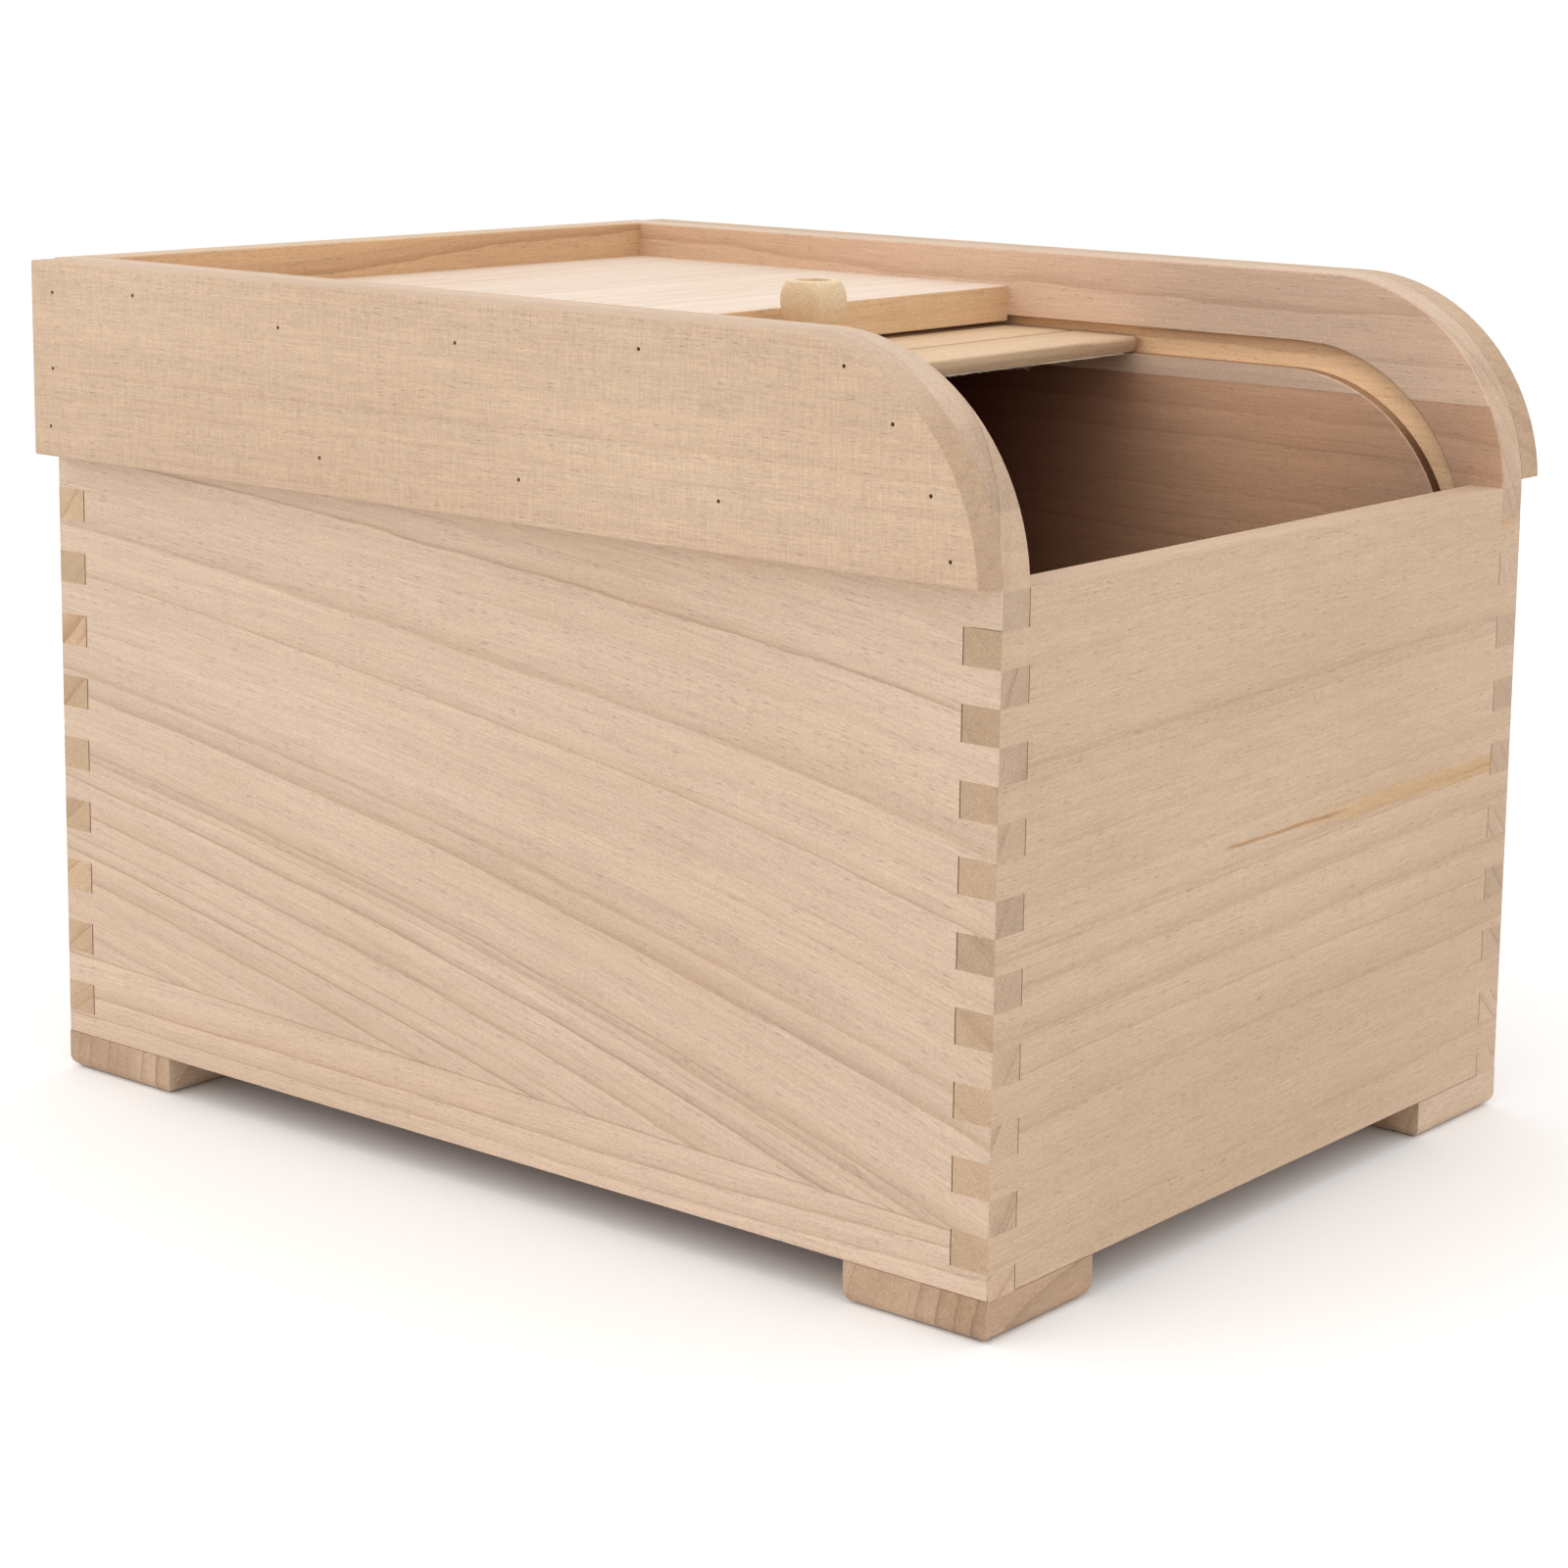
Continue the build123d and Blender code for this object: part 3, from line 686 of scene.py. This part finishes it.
def end_edges(low, high):
    """The top edge, the upright corners and the lower edge of a front or back panel."""
    if near(low.z, high.z) and (near(low.z, FRONT_TOP) or near(low.z, TOP)) and high.x - low.x > 100:
        return 1.0
    if near(low.x, high.x) and abs(low.x) > INSIDE + 1 and near(low.y, high.y) and abs(low.y) > BACK - 1:
        return 0.8
    if near(high.z, UNDERSIDE) and abs(low.y) > BACK - 1 and near(low.y, high.y):
        return 0.8
    return 0.0


def band_edges(low, high):
    """Every edge of a band but those against the side panel."""
    if near(abs(low.x), SIDE) and near(abs(high.x), SIDE):
        return 0.25
    return 1.0


def top_edges(low, high):
    """The front edges and the knob's scoop."""
    return 1.0 if high.y < TOP_PANEL_FRONT + 15 and high.x - low.x > 1.0 else 0.0


def no_edges(low, high):
    return 0.0


for side in ("left", "right"):
    eased(f"side_panel_{side}", f"side_boards_{side}", side_edges, 0.55)
    eased(f"side_band_{side}", f"band_boards_{side}", band_edges, 0.55)
    eased(f"band_brads_{side}", "brad_steel", no_edges)
    eased(f"foot_brads_{side}", "brad_steel", no_edges)
    for end in ("front", "back"):
        eased(f"foot_{end}_{side}", "foot_blocks", no_edges)
eased("front_panel", "front_board", end_edges, 0.5)
eased("back_panel", "back_board", end_edges, 0.5)
eased("bottom_panel", "bottom_board", no_edges)
eased("top_panel", "top_board", top_edges, 0.5)


def loft(name, stations):
    """A closed object through outlines of equal length: stations are (x, [(y, z), ...]), in millimetres."""
    work = bmesh.new()
    rings = [[work.verts.new((x * MM, y * MM, z * MM)) for y, z in outline] for x, outline in stations]
    for ring, other in zip(rings, rings[1:]):
        for i in range(len(ring)):
            j = (i + 1) % len(ring)
            work.faces.new((ring[i], ring[j], other[j], other[i]))
    work.faces.new(reversed(rings[0]))
    work.faces.new(rings[-1])
    return new_object(name, smooth_mesh(work, name, 32))


def slat(number):
    """A slat with eased edges. Its ends run in the grooves, and the front one's corners are round."""
    low, high = cad(f"slat_{number}")
    reach = GROOVE_FLOOR - 0.6
    ease = 0.9
    corner = 5.0 if number == 1 else ease           # radius of the front corners, seen from above

    def outline(front, shrink):
        bottom, top = low.z + shrink * 0.4, high.z - shrink * 0.4
        rear = high.y - shrink * 0.2
        if number == 1:                             # a slanted lower half on the front edge
            crease = bottom + (top - bottom) * 0.46
            points = [
                (front + 1.1, bottom), (front + 0.85, bottom + 0.25),
                (front + 0.06, crease - 0.12), (front, crease + 0.1),
            ]
        else:
            points = [
                (front + 0.3, bottom), (front + 0.08, bottom + 0.08),
                (front, bottom + 0.3), (front, bottom + 1.2),
            ]
        turns = [math.pi / 2 * i / 4 for i in range(5)]
        points += [(front + ease - ease * math.cos(a), top - ease + ease * math.sin(a)) for a in turns]
        points += [(rear - ease + ease * math.sin(a), top - ease + ease * math.cos(a)) for a in turns]
        points += [(rear, bottom + 0.3), (rear - 0.08, bottom + 0.08), (rear - 0.3, bottom)]
        return points

    half = []
    for i in range(9):                              # the rounded end, from its tip inwards
        angle = math.pi / 2 * i / 8
        x = reach - corner + corner * math.cos(angle)
        setback = corner * (1 - math.sin(angle))
        half.append((x, outline(low.y + setback, 1.0 if i == 0 else 0.0)))
    half.append((half[0][0] - 0.15, outline(low.y + corner * 0.86, 0.2)))
    half.sort(key=lambda station: station[0])
    middle = [(x * 12.0, outline(low.y, 0.0)) for x in range(-9, 10)]
    left = [(-x, points) for x, points in reversed(half)]
    obj = loft(f"slat_{number}_wood", left + middle + half)
    return finish_piece(obj, f"shutter_slat_{number}", f"slat_{number}")


for number in range(1, SLATS + 1):
    slat(number)


def lathe(name, profile, centre, segments):
    """A solid of revolution about a vertical axis. profile is (radius, height) from bottom to top."""
    work = bmesh.new()
    turns = [2 * math.pi * i / segments for i in range(segments)]
    rings = []
    for radius, height in profile:
        rings.append([
            work.verts.new((
                (centre[0] + radius * math.cos(turn)) * MM,
                (centre[1] + radius * math.sin(turn)) * MM,
                (centre[2] + height) * MM,
            ))
            for turn in (turns if radius > 0 else turns[:1])
        ])
    for ring, other in zip(rings, rings[1:]):
        for i in range(segments):
            j = (i + 1) % segments
            corners = [ring[i % len(ring)], ring[j % len(ring)], other[j % len(other)], other[i % len(other)]]
            corners = [v for k, v in enumerate(corners) if v not in corners[:k]]
            work.faces.new(corners)
    return new_object(name, smooth_mesh(work, name, 40))


def arc(height, radius, start, end, steps):
    """Points of an arc about the axis in a profile; angles in degrees from level, upwards."""
    turns = [math.radians(start + (end - start) * i / steps) for i in range(steps + 1)]
    return [(radius * math.cos(turn), height + radius * math.sin(turn)) for turn in turns]


def knob():
    """The turned knob: a waisted neck, a ball with a flat top and a blind hole with a rounded lip."""
    low, high = cad("knob")
    ball = (high.x - low.x) / 2
    top = high.z - low.z
    middle = top - 6.3
    neck, neck_top, waist = 5.5, middle - 7.0, 0.9
    foot = math.degrees(math.asin(-7.0 / ball))
    rim = math.degrees(math.asin(5.9 / ball))
    profile = [(0.0, 0.0), (5.3, 0.0), (neck, 0.25)]
    profile += [
        (neck - waist * math.sin(math.pi * i / 8), 0.25 + (neck_top - 0.25) * i / 8) for i in range(1, 8)
    ]
    profile += [(neck, neck_top), (ball * math.cos(math.radians(foot)) - 0.35, neck_top)]
    profile += arc(middle, ball, foot + 2, rim, 26)
    edge = profile[-1][0]
    profile += [(edge - 0.35, top - 0.16), (edge - 0.8, top - 0.03), (edge - 1.3, top)]
    profile += [(6.0, top), (5.7, top - 0.08), (5.52, top - 0.3), (5.5, top - 0.7), (5.5, top - 5.4)]
    profile += [(5.3, top - 5.8), (4.6, top - 6.0), (0.0, top - 6.0)]
    return finish_piece(lathe("knob_turned", profile, middle_of(low, high), 96), "knob_wood", "knob")


def knob_screw():
    """The screw under the slat: a pan head with a cross recess, and a plain shank in the wood."""
    low, high = cad("knob_screw")
    centre = middle_of(low, high)
    head = (high.x - low.x) / 2
    tall = high.z - low.z
    profile = [(0.0, 0.35), (head * 0.5, 0.32), (head * 0.74, 0.45), (head * 0.92, 0.85), (head, 1.5)]
    profile += [(head, 2.15), (head - 0.05, 2.2), (1.75, 2.2)]
    profile += [(1.75, tall - 1.5), (0.9, tall - 0.3), (0.0, tall)]
    obj = lathe("knob_screw_steel", profile, centre, 48)
    cutter = bmesh.new()
    for size in ((3.6, 0.75, 1.9), (0.75, 3.6, 1.9)):
        for vertex in bmesh.ops.create_cube(cutter, size=1.0)["verts"]:
            x, y, z = (part * length for part, length in zip(vertex.co, size))
            vertex.co = Vector(((centre[0] + x) * MM, (centre[1] + y) * MM, (low.z + 0.6 + z) * MM))
    mesh = bpy.data.meshes.new("recess")
    cutter.to_mesh(mesh)
    cutter.free()
    tool = new_object("recess", mesh)
    cut = obj.modifiers.new("recess", "BOOLEAN")
    cut.object = tool
    cut.solver = "EXACT"
    cut.use_self = True
    done = applied_mesh(obj)
    obj.modifiers.clear()
    obj.data = done
    bpy.data.objects.remove(tool)
    return finish_piece(obj, "screw_steel", "knob_screw")


knob()
knob_screw()


# ---- cloth ------------------------------------------------------------------------------------
def hinge_lines(first, last):
    """The y of the hinge lines before one slat and behind another."""
    return cad(f"slat_{first}")[0].y - SLAT_HALF_GAP, cad(f"slat_{last}")[1].y + SLAT_HALF_GAP


def cloth(node, first, last):
    """A strip of the cloth under the slats, from one hinge line to another, and its flat size in metres."""
    low, high = cad(node)
    front, rear = hinge_lines(first, last)
    if first == 1:
        front += CLOTH_SETBACK
    work = bmesh.new()
    rows, columns = max(2, round((rear - front) / 3)), 60
    seed = random.Random(node)
    lift = [
        [0.03 * math.sin(0.35 * i + j) + seed.uniform(-0.015, 0.015) for i in range(columns + 1)]
        for j in range(rows + 1)
    ]
    sheets = []
    for level in (low.z + 0.07, low.z + 0.42):
        grid = []
        for j in range(rows + 1):
            y = front + (rear - front) * j / rows
            row = []
            for i in range(columns + 1):
                x = low.x + (high.x - low.x) * i / columns
                ragged = seed.uniform(-0.35, 0.35) if first == 1 and j == 0 else 0.0
                z = level + (lift[j][i] if 0 < j < rows else 0.0)
                row.append(work.verts.new((x * MM, (y + ragged) * MM, z * MM)))
            grid.append(row)
        sheets.append(grid)
    under, over = sheets
    for j in range(rows):
        for i in range(columns):
            work.faces.new((under[j][i], under[j + 1][i], under[j + 1][i + 1], under[j][i + 1]))
            work.faces.new((over[j][i], over[j][i + 1], over[j + 1][i + 1], over[j + 1][i]))
    rim = [(0, i) for i in range(columns)] + [(j, columns) for j in range(rows)]
    rim += [(rows, i) for i in range(columns, 0, -1)] + [(j, 0) for j in range(rows, 0, -1)]
    for (j, i), (l, k) in zip(rim, rim[1:] + rim[:1]):
        work.faces.new((under[j][i], under[l][k], over[l][k], over[j][i]))
    obj = new_object(node + "_cotton", smooth_mesh(work, node, 50))
    finish_piece(obj, "shutter_cloth", node)
    return obj, ((high.x - low.x) * MM, (rear - front) * MM)


def fray():
    """Loose threads along the cloth's cut front edge."""
    low, high = cad("cloth_1")
    start = hinge_lines(1, 1)[0] + CLOTH_SETBACK
    curves = bpy.data.curves.new("cloth_fray", "CURVE")
    curves.dimensions = "3D"
    curves.bevel_depth = 0.05 * MM
    curves.bevel_resolution = 1
    seed = random.Random(11)
    steps = 5
    x = low.x + 1.0
    while x < high.x - 1.0:
        x += seed.expovariate(1 / 1.1)
        thread = curves.splines.new("POLY")
        length = seed.uniform(0.3, 1.5) if seed.random() < 0.85 else seed.uniform(1.5, 3.2)
        lean, droop = seed.uniform(-0.9, 0.9), seed.uniform(-0.35, 0.25)
        thread.points.add(steps - 1)
        for i in range(steps):
            s = i / (steps - 1)
            thread.points[i].co = (
                (x + lean * length * s + 0.15 * math.sin(5 * s + x)) * MM,
                (start + 0.5 - (length + 0.5) * s) * MM,
                (low.z + 0.22 + droop * length * s * s) * MM,
                1.0,
            )
            thread.points[i].radius = 1.0 - 0.45 * s
    drawn = new_object("cloth_fray", curves)
    mesh = applied_mesh(drawn)
    bpy.data.objects.remove(drawn)
    obj = new_object("cloth_fray_threads", mesh)
    return finish_piece(obj, "shutter_cloth", body=bodies["cloth_1"], slot=slots["cloth_1"])


for node, first, last in (("cloth_1", 1, 1), ("cloth_2", 2, 2), ("cloth_3", 3, 3), ("cloth_rear", 4, SLATS)):
    strip, flat = cloth(node, first, last)
    extra = [fray()] if first == 1 else []


# ---- floor, light and camera ------------------------------------------------------------------
floor_material, _, floor_bsdf = new_material("floor")
floor_bsdf.inputs["Base Color"].default_value = (0.97, 0.97, 0.97, 1)
floor_bsdf.inputs["Roughness"].default_value = 0.9
floor_bsdf.inputs["Specular IOR Level"].default_value = 0.1
floor_mesh = bpy.data.meshes.new("floor")
floor_mesh.from_pydata([(-30, -30, 0), (30, -30, 0), (30, 30, 0), (-30, 30, 0)], [], [(0, 1, 2, 3)])
floor = new_object("floor", floor_mesh)
floor.data.materials.append(floor_material)


def area_light(name, location, target, size, energy):
    light = bpy.data.lights.new(name, "AREA")
    light.shape = "RECTANGLE"
    light.size, light.size_y = size
    light.energy = energy
    obj = new_object(name, light)
    obj.location = location
    obj.rotation_mode = "QUATERNION"
    obj.rotation_quaternion = (Vector(target) - Vector(location)).to_track_quat("-Z", "Y")


area_light("overhead", (-0.25, 0.15, 1.7), (0, 0, 0.15), (1.8, 1.8), 6)
area_light("left", (-1.9, 0.5, 0.9), (0, 0, 0.12), (1.5, 1.2), 5)
area_light("front", (0.3, -2.0, 0.8), (0, 0, 0.12), (1.6, 1.0), 1.2)

world = bpy.data.worlds.new("studio")
world.use_nodes = True
background = world.node_tree.nodes["Background"].inputs
background["Color"].default_value = (1, 1, 1, 1)
background["Strength"].default_value = 1.04
scene = bpy.context.scene
scene.world = world
scene.view_settings.view_transform = "Standard"

lens = bpy.data.cameras.new("camera")
lens.sensor_width = 36.0
lens.lens = 82.33
lens.shift_x = -0.0302
lens.shift_y = -0.125
camera = new_object("camera", lens)
camera.location = (-0.85559, -0.70574, 0.35215)
camera.rotation_euler = (math.radians(80.2801), math.radians(-0.8371), math.radians(-51.1269))
scene.camera = camera
